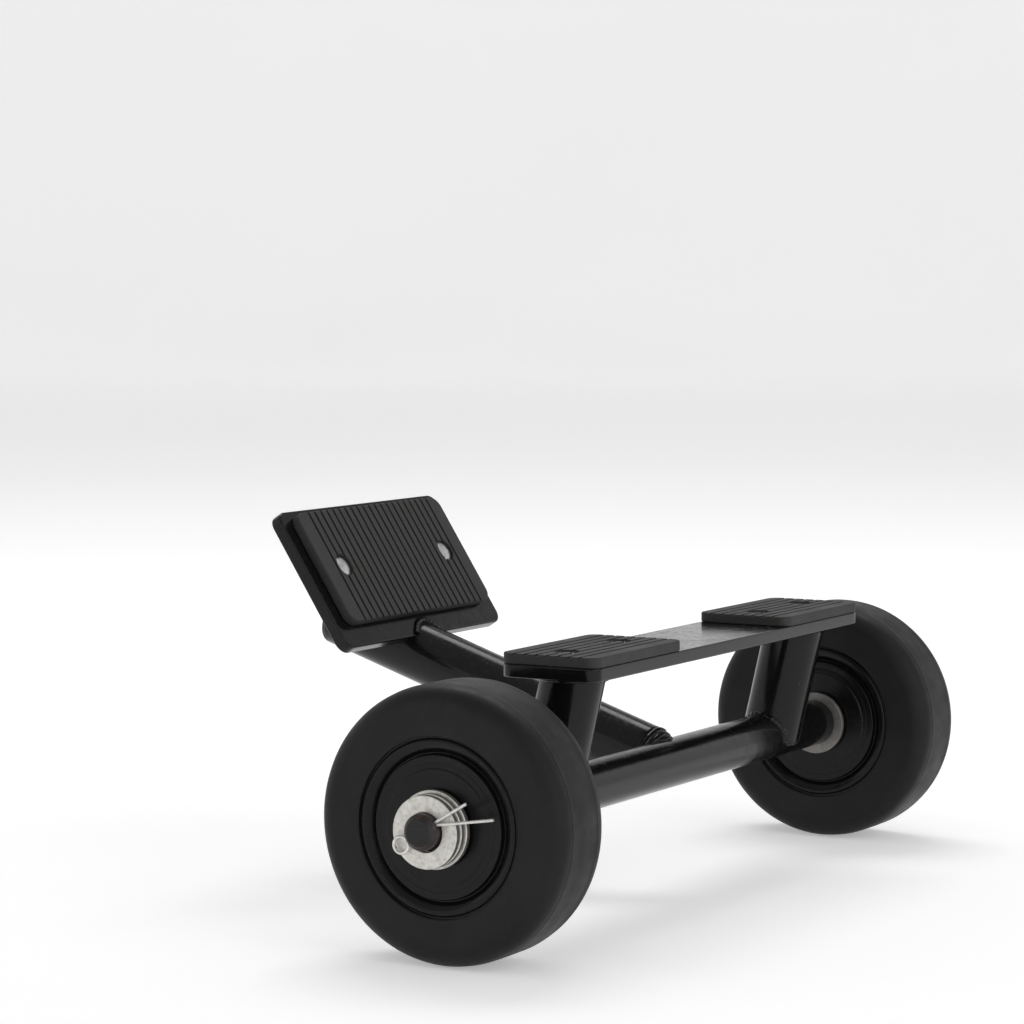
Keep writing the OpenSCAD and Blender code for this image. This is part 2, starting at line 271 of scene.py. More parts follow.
# ---------------------------------------------------------------- sleeves
# A zinc-plated steel sleeve is pressed into each core and runs on the axle rod. It is
# cut from tube, faced and lightly chamfered, and stands a little proud of the core.
def zinc_plate(name, tone):
    """Dull galvanised steel, mottled in soft patches with a fine grain."""
    zinc = Finish(name)
    patches = zinc.noise(1.7, detail=6, rough=0.62)
    base = zinc.ramp(
        patches, (0.28, tuple(0.72 * value for value in tone)), (0.5, tone),
        (0.74, tuple(min(1.15 * value, 0.95) for value in tone)))
    stain = zinc.ramp(zinc.noise(1.1, detail=4), (0.6, 0.0), (0.78, 1.0))
    zinc.send("Base Color", zinc.blend(stain, base, (0.43, 0.40, 0.35)))
    zinc.send("Roughness", zinc.ramp(zinc.noise(2.2, detail=5), (0.3, 0.34), (0.7, 0.56)))
    zinc.send("Metallic", zinc.ramp(patches, (0.3, 0.5), (0.7, 0.72)))
    grain = zinc.bump(zinc.noise(0.35, detail=3), 0.015, 0.5)
    zinc.send("Normal", zinc.bump(patches, 0.05, 0.35, grain))
    return zinc.material


ROD_OUT = 6.5
SLEEVE_HALF, SLEEVE_BORE = 17.5, 6.55
sleeve_zinc = zinc_plate("sleeve zinc", (0.60, 0.60, 0.58))
for side in ("near", "far"):
    place = Matrix.Translation(wheel_middle(side)) @ ONTO_AXLE
    wall_end = [(SLEEVE_HALF, SLEEVE_BORE, 0.3), (SLEEVE_HALF, SLEEVE_OUT, 0.3)]
    sleeve = turned(mirrored(wall_end), place, steps=96)
    make_piece("sleeve_" + side + "_tube", sleeve, sleeve_zinc, "wheel_" + side,
               "zinc_plate", "sleeve_" + side)


# ---------------------------------------------------------------- axle rod
# One steel rod with a brown-black oxide skin runs through the axle tube and both wheels.
# Its ends are sawn and chamfered, and a hole is drilled across it for each split pin.
def rod_oxide():
    oxide = Finish("rod oxide")
    patches = oxide.noise(4, detail=6, rough=0.65)
    base = oxide.ramp(
        patches, (0.3, (0.020, 0.014, 0.012)), (0.52, (0.046, 0.033, 0.027)),
        (0.75, (0.095, 0.070, 0.056)))
    bluing = oxide.ramp(oxide.noise(2.5, detail=4), (0.45, 0.0), (0.65, 1.0))
    oxide.send("Base Color", oxide.blend(bluing, base, (0.019, 0.020, 0.025)))
    oxide.send("Roughness", oxide.ramp(patches, (0.3, 0.30), (0.7, 0.5)))
    oxide.fix(Metallic=0.5)
    drawn = oxide.noise(0.5, detail=3, stretch=(1, 0.08, 1))
    oxide.send("Normal", oxide.bump(patches, 0.06, 0.35, oxide.bump(drawn, 0.02, 0.5)))
    return oxide.material


def sawn_steel():
    """The sawn end face, darkened blue-grey, with the saw's fine straight marks."""
    sawn = Finish("sawn rod end")
    marks = sawn.noise(0.9, detail=5, stretch=(0.12, 1, 1))
    sawn.send("Base Color", sawn.ramp(marks, (0.3, (0.006, 0.006, 0.007)), (0.7, (0.017, 0.017, 0.018))))
    sawn.send("Roughness", sawn.ramp(marks, (0.3, 0.32), (0.7, 0.5)))
    sawn.send("Normal", sawn.bump(marks, 0.04, 0.6))
    sawn.fix(Metallic=0.4)
    return sawn.material


def cut_away(shape, *cutters):
    """Cuts closed bmeshes out of shape with an exact boolean, and returns the result."""
    helpers = []
    for number, bm in enumerate((shape, *cutters)):
        mesh = bpy.data.meshes.new("cut_%d" % number)
        bm.to_mesh(mesh)
        bm.free()
        helper = bpy.data.objects.new("cut_%d" % number, mesh)
        bpy.context.scene.collection.objects.link(helper)
        helpers.append(helper)
    for cutter in helpers[1:]:
        cut = helpers[0].modifiers.new("cut", "BOOLEAN")
        cut.operation = "DIFFERENCE"
        cut.solver = "EXACT"
        cut.object = cutter
    seen = helpers[0].evaluated_get(bpy.context.evaluated_depsgraph_get())
    left = bmesh.new()
    left.from_mesh(seen.to_mesh())
    seen.to_mesh_clear()
    for helper in helpers:
        mesh = helper.data
        bpy.data.objects.remove(helper)
        bpy.data.meshes.remove(mesh)
    return left


axle = Vector((wheel_middle("near").x, 0, wheel_middle("near").z))
ROD_HALF, ROD_CHAMFER, PIN_AT, PIN_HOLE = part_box("axle_rod")[1].y / mm, 1.8, 184, 1.4
PIN_RISE = math.radians(31)
PIN_TURN = Matrix.Rotation(math.pi / 2 - PIN_RISE, 4, "Y")
rod_place = Matrix.Translation(axle) @ ONTO_AXLE
rod_end = [(ROD_HALF, 0), (ROD_HALF, ROD_OUT - ROD_CHAMFER, 0.35), (ROD_HALF - ROD_CHAMFER, ROD_OUT, 0.25)]
rod = turned(mirrored(rod_end), rod_place, steps=96)
drills = []
for way in (-1, 1):
    drill = bmesh.new()
    bmesh.ops.create_cone(drill, cap_ends=True, segments=32, radius1=PIN_HOLE * mm,
                          radius2=PIN_HOLE * mm, depth=4 * ROD_OUT * mm)
    drill.transform(Matrix.Translation(axle + Vector((0, way * PIN_AT * mm, 0))) @ PIN_TURN)
    drills.append(drill)
rod_piece = make_piece("axle_rod_steel", cut_away(rod, *drills), rod_oxide(), "frame",
                       "rod_oxide", "axle_rod")
rod_piece.data.materials.append(sawn_steel())
for face in rod_piece.data.polygons:
    if abs(face.center.y) > (ROD_HALF - 0.15) * mm:
        face.material_index = 1


# ---------------------------------------------------------------- washers
# Flat washers, punched from galvanised strip, take up the room beside the wheels: three
# outside each wheel, the one at the wheel being wider, and one inside. They hang loose on
# the rod, so no two of them are quite in line, and the punch has rounded their edges.
WASHER_T, WASHER_BORE, STACK_IN, WASHER_PLAY = 2.4, 7.0, 17.8, 0.08
WASHER_LIST = [("washer_%s_1", STACK_IN, 14, (0.10, -0.20)),
               ("washer_%s_2", STACK_IN + WASHER_T, 13, (0.40, -0.20)),
               ("washer_%s_3", STACK_IN + 2 * WASHER_T, 13, (-0.15, -0.42)),
               ("inner_washer_%s", -STACK_IN - WASHER_T, 13, (0.15, -0.38))]
washer_zinc = zinc_plate("washer zinc", (0.65, 0.635, 0.59))
# The inner washers get a far darker zinc tone: painted shade, standing in for the shadow they sit in under
# the machine.
painted_shade_zinc = zinc_plate("painted shade washer zinc", (0.20, 0.19, 0.18))
# The faces round each washer's outer rim get a much darker zinc tone.
dark_rim_zinc = zinc_plate("darker washer rim", (0.20, 0.195, 0.185))
for side, way in (("near", -1), ("far", 1)):
    for name, station, radius, (aside, drop) in WASHER_LIST:
        name = name % side
        middle = wheel_middle(side) + Vector((aside * mm, 0, drop * mm))
        place = Matrix.Translation(middle) @ ONTO_AXLE @ Matrix.Scale(way, 4, (0, 0, 1))
        low, high = station + WASHER_PLAY, station + WASHER_T - WASHER_PLAY
        outline = [(low, WASHER_BORE, 0.2), (high, WASHER_BORE, 0.3),
                   (high, radius, 0.5), (low, radius, 0.35)]
        washer = turned(outline, place, steps=96)
        # Washers inside the wheels (station below 0) take the painted-shade zinc.
        coat = painted_shade_zinc if station < 0 else washer_zinc
        piece = make_piece(name + "_plate", washer, coat, "frame", "zinc_plate", name)
        # Faces near the outer rim take the darker rim zinc.
        piece.data.materials.append(dark_rim_zinc)
        for face in piece.data.polygons:
            if math.hypot(face.center.x - middle.x, face.center.z - middle.z) > (radius - 0.12) * mm:
                face.material_index = 1


# ---------------------------------------------------------------- split pins
# A split pin of soft bright wire, folded back on itself with an eye at the fold, passes
# through the rod outside the washers. One leg stays straight and short, and the longer
# one is bent away, so that the pin can't fall out.
def pin_steel():
    bright = Finish("pin steel")
    patches = bright.noise(1.4, detail=4)
    bright.send("Base Color", bright.ramp(patches, (0.3, (0.55, 0.54, 0.52)), (0.7, (0.80, 0.79, 0.76))))
    bright.send("Roughness", bright.ramp(patches, (0.3, 0.22), (0.7, 0.38)))
    bright.send("Normal", bright.bump(bright.noise(0.3, detail=2), 0.01, 0.4))
    bright.fix(Metallic=0.85)
    return bright.material


def swept(points, place, closed=False, sides=6):
    """Sweeps a round section along (point, radius) pairs given in mm, and puts it at place."""
    line = bpy.data.curves.new("sweep", "CURVE")
    line.dimensions = "3D"
    line.bevel_depth = mm
    line.bevel_resolution = sides
    line.use_fill_caps = not closed
    spline = line.splines.new("POLY")
    spline.points.add(len(points) - 1)
    spline.use_cyclic_u = closed
    for spot, (point, radius) in zip(spline.points, points):
        spot.co = (*(Vector(point) * mm), 1)
        spot.radius = radius
    helper = bpy.data.objects.new("sweep", line)
    bpy.context.scene.collection.objects.link(helper)
    seen = helper.evaluated_get(bpy.context.evaluated_depsgraph_get())
    shape = bmesh.new()
    shape.from_mesh(seen.to_mesh())
    seen.to_mesh_clear()
    bpy.data.objects.remove(helper)
    bpy.data.curves.remove(line)
    bmesh.ops.remove_doubles(shape, verts=shape.verts, dist=0.002 * mm)
    shape.transform(place)
    bmesh.ops.recalc_face_normals(shape, faces=shape.faces)
    return shape


WIRE, EYE, LEG_OFF, BEND_AT, EYE_AT = 0.6, 2.9, 0.57, 7.05, -10.1
LONG_LEG, SHORT_LEG, LEG_BEND = 22.7, 13.9, math.radians(22)
wire = [((-LEG_OFF, 0, BEND_AT + SHORT_LEG), 0.8 * WIRE), ((-LEG_OFF, 0, BEND_AT + SHORT_LEG - 0.3), WIRE)]
wire += [((-LEG_OFF, 0, BEND_AT), WIRE), ((-LEG_OFF, 0, EYE_AT + EYE + 0.2), WIRE)]
opening = math.asin(LEG_OFF / EYE) + 0.2
for step in range(33):
    angle = opening + (math.tau - 2 * opening) * step / 32
    wire.append(((-EYE * math.sin(angle), 0, EYE_AT + EYE * math.cos(angle)), WIRE))
wire += [((LEG_OFF, 0, EYE_AT + EYE + 0.2), WIRE), ((LEG_OFF, 0, BEND_AT - 0.8), WIRE)]
for step in range(1, 6):
    angle = LEG_BEND * step / 5
    wire.append(((LEG_OFF + 2 * (1 - math.cos(angle)), 0, BEND_AT - 0.8 + 2 * math.sin(angle)), WIRE))
bend = Vector(wire[-1][0])
for length, radius in ((LONG_LEG - 0.6, WIRE), (LONG_LEG - 0.3, 0.8 * WIRE)):
    wire.append((bend + length * Vector((math.sin(LEG_BEND), 0, math.cos(LEG_BEND))), radius))
pin_finish = pin_steel()
for side, way in (("near", -1), ("far", 1)):
    place = Matrix.Translation(axle + Vector((0, way * PIN_AT * mm, 0))) @ PIN_TURN
    make_piece("split_pin_%s_wire" % side, swept(wire, place), pin_finish, "frame",
               "pin_steel", "split_pin_" + side)


# ---------------------------------------------------------------- axle tube
# The axle tube is drawn steel tube, sprayed gloss black with the whole frame after
# welding. It holds the wheels apart and carries the legs and the arm, and the rod
# passes through it.
def black_paint():
    paint = Finish("black paint")
    cloud = paint.noise(30, detail=4)
    base = paint.ramp(cloud, (0.3, (0.0036, 0.0035, 0.0037)), (0.7, (0.0060, 0.0058, 0.0060)))
    dust = paint.ramp(paint.noise(2.2, detail=8, rough=0.72), (0.5, 0.0), (0.8, 0.9))
    settled = paint.math("MULTIPLY", paint.ramp(paint.upward(), (0.15, 0.12), (0.95, 1.0)), dust)
    dusted = paint.blend(settled, base, (0.030, 0.028, 0.025))
    chips = paint.ramp(paint.noise(1.1, detail=2, rough=0.4), (0.755, 0.0), (0.775, 1.0))
    paint.send("Base Color", paint.blend(chips, dusted, (0.045, 0.041, 0.038)))
    sheen = paint.ramp(paint.noise(7, detail=6), (0.3, 0.10), (0.72, 0.22))
    paint.send("Roughness", paint.math("ADD", sheen, paint.math("MULTIPLY", settled, 0.3)))
    peel = paint.bump(paint.noise(1.5, detail=2, rough=0.4), 0.035, 0.45)
    paint.send("Normal", paint.bump(paint.noise(0.4, detail=2), 0.006, 0.35, peel))
    paint.fix(Specular_IOR_Level=0.26)
    return paint.material


frame_paint = black_paint()
TUBE_OUT, TUBE_BORE, TUBE_HALF = 9.5, 6.6, 137.3
tube_place = Matrix.Translation(axle) @ ONTO_AXLE
tube = turned(mirrored([(TUBE_HALF, TUBE_BORE, 0.3), (TUBE_HALF, TUBE_OUT, 0.4)]), tube_place, steps=96)
make_piece("axle_tube_steel", tube, frame_paint, "frame", "black_paint", "axle_tube")


# ---------------------------------------------------------------- legs
# Two short legs of round steel tube stand on the axle tube and lean a little along the
# machine. Each is coped over the axle tube below, cut level under the saddle bar above,
# and welded all round at both ends.
LEG_OUT, LEG_BORE, LEG_GAP, LEG_LEAN = 12, 10, 190, math.radians(13)
BAR_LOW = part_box("saddle_bar")[0].z
legs = {}
for side, way in (("near", -1), ("far", 1)):
    place = Matrix.Translation(axle + Vector((0, way * LEG_GAP / 2 * mm, 0)))
    place = place @ Matrix.Rotation(LEG_LEAN, 4, "Y")
    legs[side] = place
    reach = (BAR_LOW - axle.z) / mm / math.cos(LEG_LEAN) + LEG_OUT
    outline = [(0, LEG_BORE, 0.3), (0, LEG_OUT, 0.4), (reach, LEG_OUT), (reach, LEG_BORE)]
    leg = turned(outline, place, steps=96)
    sliced = bmesh.ops.bisect_plane(
        leg, geom=leg.verts[:] + leg.edges[:] + leg.faces[:], dist=0.001 * mm,
        plane_co=(0, 0, BAR_LOW), plane_no=(0, 0, 1), clear_outer=True, clear_inner=False)
    rim = [edge for edge in sliced["geom_cut"] if isinstance(edge, bmesh.types.BMEdge)]
    bmesh.ops.bridge_loops(leg, edges=rim)
    bmesh.ops.recalc_face_normals(leg, faces=leg.faces)
    make_piece("leg_%s_tube" % side, leg, frame_paint, "frame", "black_paint", "leg_" + side)


# ---------------------------------------------------------------- centre arm
# The arm is the same round tube as the legs. It is coped onto the middle of the axle
# tube, welded all round, and rises towards the nose of the machine.
ARM_RISE, ARM_LEN, ARM_START = math.radians(18.5), 158, 9
arm_place = Matrix.Translation(axle) @ Matrix.Rotation(ARM_RISE - math.pi / 2, 4, "Y")
arm_ring = [(ARM_START, LEG_OUT, 0.4), (ARM_LEN, LEG_OUT, 0.4), (ARM_LEN, LEG_BORE), (ARM_START, LEG_BORE)]
arm = turned(arm_ring, arm_place, steps=96)
make_piece("centre_arm_tube", arm, frame_paint, "frame", "black_paint", "centre_arm")


# ---------------------------------------------------------------- weld beads
# MIG beads run all round each leg's foot and round the leg tops under the saddle bar. The
# arm is cut nearly square, so four thinning passes fill the wedge between its end and the
# axle tube. The beads ripple where the welder stepped along, and are painted over.
def rippled(path, size, depth=0.10):
    """Gives a path of points the rippled thickness of a hand-laid bead."""
    bead, run = [], 0
    for number, point in enumerate(path):
        run += (Vector(point) - Vector(path[number - 1])).length if number else 0
        swell = 1 + depth * (math.sin(math.tau * run / 2.1) + 0.7 * math.sin(run * 0.83 + 1))
        bead.append((point, size * swell))
    return bead


def foot_weld(start, sink, drop):
    """A loop round a coped tube's foot, which at the rim lies sink mm in and drop mm down."""
    wrap = math.sqrt(TUBE_OUT ** 2 - start ** 2)
    loop = []
    for step in range(144):
        angle = math.tau * step / 144
        over_rim = min(max((abs(math.cos(angle)) * LEG_OUT - wrap + 2) / 2.5, 0), 1)
        radius = LEG_OUT - 0.3 - sink * over_rim
        out, along = radius * math.cos(angle), radius * math.sin(angle)
        low = start - drop * over_rim
        loop.append((out, along, max(low, math.sqrt(max(TUBE_OUT ** 2 - out ** 2, 0)))))
    return loop


def top_weld():
    """The level loop where a leaning leg meets the underside of the saddle bar."""
    loop = []
    for step in range(96):
        angle = math.tau * step / 96
        out, along = (LEG_OUT + 0.2) * math.cos(angle), (LEG_OUT + 0.2) * math.sin(angle)
        level = ((BAR_LOW - axle.z) / mm + out * math.sin(LEG_LEAN)) / math.cos(LEG_LEAN)
        loop.append((out, along, level - 0.6))
    return loop


def join(*shapes):
    """Gathers several bmeshes into one."""
    whole = bmesh.new()
    for shape in shapes:
        mesh = bpy.data.meshes.new("part")
        shape.to_mesh(mesh)
        shape.free()
        whole.from_mesh(mesh)
        bpy.data.meshes.remove(mesh)
    return whole


LEG_START, LEG_SINK, LEG_DROP, FOOT_BEAD, TOP_BEAD = 0.4, 1.3, 0.3, 1.5, 1.4
leg_foot = foot_weld(LEG_START, LEG_SINK, LEG_DROP)
leg_beads = [swept(rippled(leg_foot, FOOT_BEAD), legs[side], closed=True) for side in legs]
leg_beads += [swept(rippled(top_weld(), TOP_BEAD), legs[side], closed=True) for side in legs]
make_piece("leg_welds", join(*leg_beads), frame_paint, "frame", "black_paint")
ARM_PASSES = [(1.0, 1.5, 1.6), (1.7, 3.8, 1.5), (2.2, 6.2, 1.1), (2.3, 8.6, 0.7)]
arm_beads = [swept(rippled(foot_weld(ARM_START, sink, drop), size, 0.03), arm_place, closed=True)
             for sink, drop, size in ARM_PASSES]
make_piece("arm_weld", join(*arm_beads), frame_paint, "frame", "black_paint")


# ---------------------------------------------------------------- arm plug
# A push-in plug of black polyethylene closes the open end of the arm. Its domed flange
# covers the cut edge of the tube, and the moulding gate has left a small dimple in it.
def plug_plastic():
    plug = Finish("plug plastic")
    cloud = plug.noise(5, detail=4)
    plug.send("Base Color", plug.ramp(cloud, (0.3, (0.019, 0.019, 0.019)), (0.7, (0.028, 0.028, 0.028))))
    plug.send("Roughness", plug.ramp(plug.noise(3, detail=5), (0.3, 0.42), (0.7, 0.58)))
    plug.send("Normal", plug.bump(plug.noise(0.45, detail=2), 0.03, 0.5))
    return plug.material


PLUG_FACE = ARM_LEN + 2.5
plug_ring = [(ARM_LEN - 12, 0), (ARM_LEN - 12, 9.4), (ARM_LEN - 11, 9.9), (ARM_LEN + 0.05, 9.9),
             (ARM_LEN + 0.05, 11.9), (PLUG_FACE - 0.2, 11.9, 1.2), (PLUG_FACE, 4), (PLUG_FACE - 0.1, 3),
             (PLUG_FACE - 0.4, 2.5), (PLUG_FACE - 0.4, 0)]
plug = turned(plug_ring, arm_place, steps=96)
make_piece("arm_plug_cap", plug, plug_plastic(), "frame", "plug_plastic", "arm_plug")


# ---------------------------------------------------------------- saddle bar
# The saddle bar is hot-rolled flat bar with its corners ground round, welded across the
# tops of the two legs and sprayed with the frame. The machine's base plate rests on it.
def plate(length, width, thick, corner, edge, place):
    """A flat plate centred on local X and Y whose lower face lies on local z = 0."""
    shape = bmesh.new()
    bmesh.ops.create_cube(shape, size=mm)
    bmesh.ops.scale(shape, vec=(length, width, thick), verts=shape.verts)
    bmesh.ops.translate(shape, vec=(0, 0, thick / 2 * mm), verts=shape.verts)
    upright = [e for e in shape.edges if abs(e.verts[0].co.z - e.verts[1].co.z) > 0.5 * thick * mm]
    bmesh.ops.bevel(shape, geom=upright, offset=corner * mm, offset_type="OFFSET", segments=8,
                    profile=0.5, affect="EDGES", clamp_overlap=True, material=-1)
    outline = [e for e in shape.edges if abs(e.verts[0].co.z - e.verts[1].co.z) < 0.1 * mm]
    bmesh.ops.bevel(shape, geom=outline, offset=edge * mm, offset_type="OFFSET", segments=3,
                    profile=0.5, affect="EDGES", clamp_overlap=True, material=-1)
    shape.transform(place)
    bmesh.ops.recalc_face_normals(shape, faces=shape.faces)
    return shape


bar_low, bar_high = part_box("saddle_bar")
BAR_W, BAR_T, CORNER = 40, 5, 5
bar_length = (bar_high.y - bar_low.y) / mm
bar_top = Matrix.Translation(((bar_low.x + bar_high.x) / 2, 0, bar_high.z))
bar_place = bar_top @ Matrix.Translation((0, 0, -BAR_T * mm))
bar = plate(BAR_W, bar_length, BAR_T, CORNER, 0.7, bar_place)
make_piece("saddle_bar_flat", bar, frame_paint, "frame", "black_paint", "saddle_bar")


# ---------------------------------------------------------------- saddle pads
# A ribbed rubber pad is riveted on each end of the saddle bar, so that the base plate
# neither slips nor chatters. The ribs run along the bar, and the rivets sit in pockets.
def pad_rubber():
    rubber = Finish("pad rubber")
    bloom = rubber.noise(12, detail=6)
    base = rubber.ramp(bloom, (0.3, (0.016, 0.016, 0.016)), (0.7, (0.027, 0.026, 0.025)))
    dust = rubber.ramp(rubber.noise(1.3, detail=6, rough=0.7), (0.6, 0.0), (0.8, 1.0))
    rubber.send("Base Color", rubber.blend(dust, base, (0.055, 0.052, 0.047)))
    rubber.send("Roughness", rubber.ramp(bloom, (0.3, 0.6), (0.7, 0.78)))
    rubber.send("Normal", rubber.bump(rubber.noise(0.5, detail=3), 0.03, 0.6))
    return rubber.material


def box_cutter(length, width, high, spot, place):
    cutter = bmesh.new()
    bmesh.ops.create_cube(cutter, size=mm)
    bmesh.ops.scale(cutter, vec=(length, width, high), verts=cutter.verts)
    bmesh.ops.translate(cutter, vec=Vector(spot) * mm, verts=cutter.verts)
    cutter.transform(place)
    bmesh.ops.recalc_face_normals(cutter, faces=cutter.faces)
    return cutter


def pocket_cutter(radius, spot, place):
    cutter = bmesh.new()
    bmesh.ops.create_cone(cutter, cap_ends=True, segments=40, radius1=radius * mm,
                          radius2=radius * mm, depth=4 * mm)
    bmesh.ops.translate(cutter, vec=Vector(spot) * mm, verts=cutter.verts)
    cutter.transform(place)
    bmesh.ops.recalc_face_normals(cutter, faces=cutter.faces)
    return cutter


def ribbed_pad(length, width, ribs_along, rivets, place):
    """A pad with grooves along local Y or X, and a pocket round each rivet."""
    pad = plate(length, width, PAD_T, CORNER, 0.6, place)
    span, long_side = (length, width) if ribs_along == "Y" else (width, length)
    count = int((span - 10) / (2 * RIB_PITCH))
    cutters = []
    for number in range(-count, count + 1):
        away = number * RIB_PITCH
        if ribs_along == "Y":
            spot, form = (away, 0, PAD_T), (GROOVE_W, long_side + 4)
        else:
            spot, form = (0, away, PAD_T), (long_side + 4, GROOVE_W)
        cutters.append(box_cutter(*form, 2 * GROOVE_DEEP, spot, place))
    for spot in rivets:
        cutters.append(pocket_cutter(HEAD_R + 0.25, (*spot, RIVET_SEAT + 2), place))
    return cut_away(pad, *cutters)


PAD_T, PAD_LEN, RIB_PITCH, GROOVE_W, GROOVE_DEEP = 4, 70, 4.5, 1.3, 0.7
HEAD_R, RIVET_SEAT, PAD_RIVETS = 4.5, 2.0, (-20, 20)
pad_finish = pad_rubber()
for side in ("near", "far"):
    low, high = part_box("saddle_pad_" + side)
    place = Matrix.Translation(((low.x + high.x) / 2, (low.y + high.y) / 2, low.z))
    pad = ribbed_pad(BAR_W, PAD_LEN, "Y", [(0, spot) for spot in PAD_RIVETS], place)
    make_piece("saddle_pad_%s_rubber" % side, pad, pad_finish, "frame", "pad_rubber", "saddle_pad_" + side)


# ---------------------------------------------------------------- saddle rivets
# Aluminium rivets with low domed heads hold the pads. Each is set from above, sunk below
# the top of the rubber, and its tail is formed against the underside of the bar.
def rivet_alu():
    alloy = Finish("rivet alloy")
    patches = alloy.noise(1.5, detail=5)
    alloy.send("Base Color", alloy.ramp(patches, (0.3, (0.48, 0.48, 0.49)), (0.7, (0.70, 0.70, 0.71))))
    alloy.send("Roughness", alloy.ramp(patches, (0.3, 0.3), (0.7, 0.48)))
    alloy.send("Normal", alloy.bump(alloy.noise(0.4, detail=3), 0.015, 0.5))
    alloy.fix(Metallic=0.9)
    return alloy.material


RIVET_RING = [(-7, 0), (-7, 2.2), (-6.6, 2.9), (-6, 3.3), (-5.1, 3.36), (-5, 2.4), (2.0, 2.4), (2.0, HEAD_R),
              (2.5, HEAD_R), (2.9, 4.0), (3.2, 3.0), (3.35, 1.6), (3.4, 0)]
rivet_finish = rivet_alu()
spots = [(way * (bar_length - PAD_LEN) / 2 + spot) * mm for way in (-1, 1) for spot in PAD_RIVETS]
rivets = [turned(RIVET_RING, bar_top @ Matrix.Translation((0, spot, 0)), steps=40) for spot in spots]
make_piece("saddle_rivet_set", join(*rivets), rivet_finish, "frame", "rivet_alu", "saddle_rivets")


# ---------------------------------------------------------------- nose plate
# The nose plate is a flat steel plate with rounded corners, cut round below to sit on the
# arm and welded there. It leans back, and stops the machine's upturned base plate.
NOSE_BACK, NOSE_TILT, NOSE_H, NOSE_W, NOSE_SINK = 38, math.radians(57), 56, 120, 6
ARM_BITE = 0.4
nose_x = ARM_LEN * math.cos(ARM_RISE) - NOSE_BACK
nose_up = LEG_OUT / math.cos(ARM_RISE) + nose_x * math.tan(ARM_RISE)
nose_place = Matrix.Translation(axle + Vector((-nose_x, 0, nose_up)) * mm)
nose_place = nose_place @ Matrix.Rotation(NOSE_TILT, 4, "Y") @ Matrix.Scale(-1, 4, (1, 0, 0))


def arm_cutter(radius):
    """The inside of the arm's skin, cut from whatever stands on the arm."""
    return turned([(-5, 0), (-5, radius), (ARM_LEN + 5, radius), (ARM_LEN + 5, 0)], arm_place, steps=64)


nose_middle = Matrix.Translation(Vector(((NOSE_H - NOSE_SINK) / 2, 0, -BAR_T)) * mm)
nose = plate(NOSE_H + NOSE_SINK, NOSE_W, BAR_T, CORNER, 0.7, nose_place @ nose_middle)
nose = cut_away(nose, arm_cutter(LEG_OUT - ARM_BITE))
make_piece("nose_plate_flat", nose, frame_paint, "frame", "black_paint", "nose_plate")


# ---------------------------------------------------------------- nose web
# A web of the same plate stands upright on the arm behind the nose plate. It is welded
# to both, and carries the push of the machine into the arm.
WEB_T, WEB_UP, WEB_TAIL, WEB_EDGE = 5, 34, 5, 5


def nose_back_at(up):
    """A point on the back of the nose plate, up mm along its slope."""
    return nose_place @ Vector((up * mm, 0, -BAR_T * mm))


tail = arm_place @ Vector((0, 0, (ARM_LEN - WEB_TAIL) * mm))
head = nose_back_at(WEB_UP)
tail_top = tail + Vector((0, 0, LEG_OUT / math.cos(ARM_RISE) + WEB_EDGE)) * mm
web = bmesh.new()
outline = [nose_back_at(-NOSE_SINK), head, head - Vector((WEB_EDGE * mm, 0, 0)), tail_top, tail]
side_face = web.faces.new([web.verts.new((spot.x, -WEB_T / 2 * mm, spot.z)) for spot in outline])
grown = bmesh.ops.extrude_face_region(web, geom=[side_face])["geom"]
moved = [part for part in grown if isinstance(part, bmesh.types.BMVert)]
bmesh.ops.translate(web, vec=(0, WEB_T * mm, 0), verts=moved)
bmesh.ops.recalc_face_normals(web, faces=web.faces)
bmesh.ops.bevel(web, geom=web.edges[:], offset=0.5 * mm, offset_type="OFFSET", segments=2,
                profile=0.5, affect="EDGES", clamp_overlap=True, material=-1)
web = cut_away(web, arm_cutter(LEG_OUT - ARM_BITE))
make_piece("nose_web_flat", web, frame_paint, "frame", "black_paint", "nose_web")


# ---------------------------------------------------------------- nose welds
# Beads run across the front and back of the nose plate over the arm, along both sides of
# the web's foot, and up both sides of the web behind the nose plate.
to_arm = arm_place.inverted()
foot = to_arm @ nose_place.translation
lean = NOSE_TILT - ARM_RISE
fall = LEG_OUT / math.tan(lean)
BEAD, SEAT = 1.3, LEG_OUT + 0.2
nose_beads = []
for back_off, spread in ((0.2, 44), (BAR_T + 0.1, 50)):
    start = foot.z / mm + back_off / math.sin(lean)
    path = []
    for step in range(41):
        angle = math.radians(spread * (step / 20 - 1))
        path.append((SEAT * math.cos(angle), SEAT * math.sin(angle), start - fall * (1 - math.cos(angle))))
    nose_beads.append(swept(rippled(path, BEAD), arm_place))
web_start = (to_arm @ nose_back_at(0)).z / mm
for way in (-1, 1):
    path = [(SEAT - 0.3, way * (WEB_T / 2 + 0.4), web_start + 1 + 0.5 * step) for step in range(50)]
    nose_beads.append(swept(rippled(path, BEAD), arm_place))
    path = [(4 + 0.5 * step, way * (WEB_T / 2 + 0.4), -BAR_T - 0.2) for step in range(59)]
    nose_beads.append(swept(rippled(path, BEAD), nose_place))
make_piece("nose_welds", join(*nose_beads), frame_paint, "frame", "black_paint")


